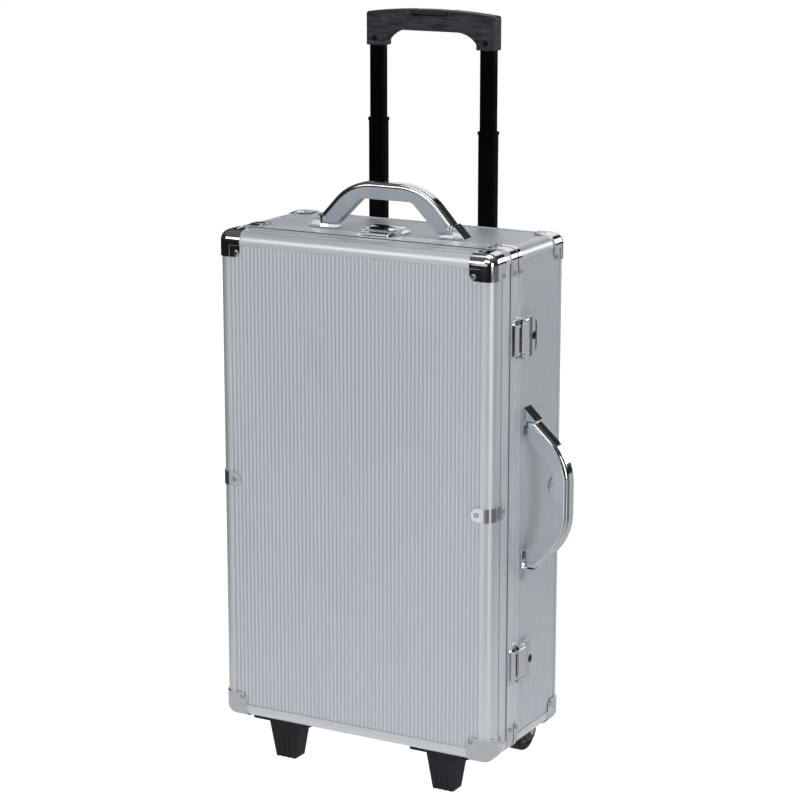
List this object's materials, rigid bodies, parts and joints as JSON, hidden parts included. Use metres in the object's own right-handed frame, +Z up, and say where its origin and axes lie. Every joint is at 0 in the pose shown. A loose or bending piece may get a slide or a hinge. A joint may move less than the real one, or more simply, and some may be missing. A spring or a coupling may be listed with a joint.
{
  "type": "trolley case",
  "caption": "Upright aluminium framed presentation trolley with ribbed panels, lockable latches, carry handles, telescopic pull handle, rear wheels and front feet.",
  "frame": {"origin": "on the floor, under the middle of the object's outline", "axes": "+Z up, +Y towards the back where the wheels and pull handle are, +X towards the latches and side handle"},
  "size_m": [0.4094, 0.2058, 0.8608],
  "materials": {
    "panel_aluminium": "satin, ribbed sheet on board",
    "rail_aluminium": "satin anodised extrusion",
    "chrome": "polished",
    "steel": "bright zinc",
    "lining": "short pile lining",
    "handle_plastic": "matt grey-blue moulding",
    "tube_black": "gloss black",
    "black_plastic": "fine grained",
    "hub_plastic": "moulded dark grey",
    "tyre": "solid rubber"
  },
  "bodies": {
    "case": {"back_panel": "panel_aluminium", "left_panel": "panel_aluminium", "right_panel": "panel_aluminium", "top_panel": "panel_aluminium", "bottom_panel": "panel_aluminium", "body_edge_rails": "rail_aluminium", "body_closing_rails": "rail_aluminium", "body_closing_corners": "chrome", "rear_corner_caps": "chrome", "rear_edge_clips": "chrome", "body_rivets": "steel", "body_lining": "lining", "hinge_body_leaves": "steel", "hinge_pins": "steel", "latch_bases": "chrome", "pivot_pins": "steel", "handle_brackets": "chrome", "outer_tubes": "tube_black", "tube_brackets": "black_plastic", "case_screws": "steel", "wheel_brackets": "black_plastic", "wheel_axles": "steel"},
    "lid": {"lid_panel": "panel_aluminium", "lid_side_strips": "panel_aluminium", "lid_edge_rails": "rail_aluminium", "lid_closing_rails": "rail_aluminium", "lid_closing_corners": "chrome", "front_corner_caps": "chrome", "front_edge_clips": "chrome", "lid_rivets": "steel", "lid_lining": "lining", "hinge_lid_leaves": "steel", "latch_strikes": "chrome", "front_feet": "black_plastic", "foot_screws": "steel"},
    "upper_lever": {"upper_latch_lever": "chrome"},
    "upper_hook": {"upper_latch_hook": "chrome"},
    "upper_plug": {"upper_lock_plug": "steel"},
    "lower_lever": {"lower_latch_lever": "chrome"},
    "lower_hook": {"lower_latch_hook": "chrome"},
    "lower_plug": {"lower_lock_plug": "steel"},
    "top_lever": {"top_latch_lever": "chrome"},
    "top_hook": {"top_latch_hook": "chrome"},
    "top_handle": {"top_handle_core": "handle_plastic", "top_handle_cap": "chrome"},
    "side_handle": {"side_handle_core": "handle_plastic", "side_handle_cap": "chrome"},
    "left_middle": {"left_middle_tube": "tube_black"},
    "right_middle": {"right_middle_tube": "tube_black"},
    "grip": {"inner_tubes": "tube_black", "grip_front_shell": "black_plastic", "grip_rear_shell": "black_plastic", "grip_screws": "steel", "button_spring": "steel"},
    "button": {"grip_button": "black_plastic", "release_yoke": "rail_aluminium"},
    "left_wheel": {"left_hub": "hub_plastic", "left_tyre": "tyre"},
    "right_wheel": {"right_hub": "hub_plastic", "right_tyre": "tyre"}
  },
  "joints": [
    {"name": "lid_hinge", "type": "hinge", "parent": "case", "child": "lid", "pos_m": [-0.2015, -0.0424, 0.3355], "axis": [0, 0, -1], "range_deg": [0, 110]},
    {"name": "upper_lever_flip", "type": "hinge", "parent": "case", "child": "upper_lever", "pos_m": [0.1529, -0.0369, 0.5215], "axis": [0, 0, -1], "range_deg": [0, 100]},
    {"name": "upper_hook_turn", "type": "hinge", "parent": "upper_lever", "child": "upper_hook", "pos_m": [0.1516, -0.0314, 0.5215], "axis": [0, 0, -1], "range_deg": [-110, 0]},
    {"name": "upper_key_turn", "type": "hinge", "parent": "upper_lever", "child": "upper_plug", "pos_m": [0.1547, -0.0134, 0.5215], "axis": [1, 0, 0], "range_deg": [0, 90]},
    {"name": "lower_lever_flip", "type": "hinge", "parent": "case", "child": "lower_lever", "pos_m": [0.1529, -0.0369, 0.1495], "axis": [0, 0, -1], "range_deg": [0, 100]},
    {"name": "lower_hook_turn", "type": "hinge", "parent": "lower_lever", "child": "lower_hook", "pos_m": [0.1516, -0.0314, 0.1495], "axis": [0, 0, -1], "range_deg": [-110, 0]},
    {"name": "lower_key_turn", "type": "hinge", "parent": "lower_lever", "child": "lower_plug", "pos_m": [0.1547, -0.0134, 0.1495], "axis": [1, 0, 0], "range_deg": [0, 90]},
    {"name": "top_lever_flip", "type": "hinge", "parent": "case", "child": "top_lever", "pos_m": [-0.0243, -0.0369, 0.6257], "axis": [1, 0, 0], "range_deg": [0, 100]},
    {"name": "top_hook_turn", "type": "hinge", "parent": "top_lever", "child": "top_hook", "pos_m": [-0.0243, -0.0314, 0.6244], "axis": [1, 0, 0], "range_deg": [-110, 0]},
    {"name": "top_handle_fold", "type": "hinge", "parent": "case", "child": "top_handle", "pos_m": [-0.0243, -0.0171, 0.6327], "axis": [-1, 0, 0], "range_deg": [-50, 85]},
    {"name": "side_handle_fold", "type": "hinge", "parent": "case", "child": "side_handle", "pos_m": [0.1599, -0.0171, 0.3425], "axis": [0, 0, 1], "range_deg": [-50, 85]},
    {"name": "left_middle_slide", "type": "slide", "parent": "case", "child": "left_middle", "axis": [0, 0, 1], "range_m": [-0.109, 0.08]},
    {"name": "right_middle_slide", "type": "slide", "parent": "case", "child": "right_middle", "axis": [0, 0, 1], "range_m": [-0.109, 0.08]},
    {"name": "grip_slide", "type": "slide", "parent": "left_middle", "child": "grip", "axis": [0, 0, 1], "range_m": [-0.082, 0.1]},
    {"name": "button_press", "type": "slide", "parent": "grip", "child": "button", "axis": [0, 0, -1], "range_m": [0, 0.0016], "stiffness_N_per_m": 1000, "springref_m": -0.003, "deforming": ["button_spring"]},
    {"name": "left_wheel_spin", "type": "hinge", "parent": "case", "child": "left_wheel", "pos_m": [-0.1478, 0.0779, 0.025], "axis": [1, 0, 0], "continuous": true},
    {"name": "right_wheel_spin", "type": "hinge", "parent": "case", "child": "right_wheel", "pos_m": [0.0992, 0.0779, 0.025], "axis": [1, 0, 0], "continuous": true}
  ],
  "couplings": [
    {"joint": "upper_hook_turn", "follows": "upper_lever_flip", "ratio": -1.1},
    {"joint": "lower_hook_turn", "follows": "lower_lever_flip", "ratio": -1.1},
    {"joint": "top_hook_turn", "follows": "top_lever_flip", "ratio": -1.1},
    {"joint": "right_middle_slide", "follows": "left_middle_slide", "ratio": 1}
  ]
}
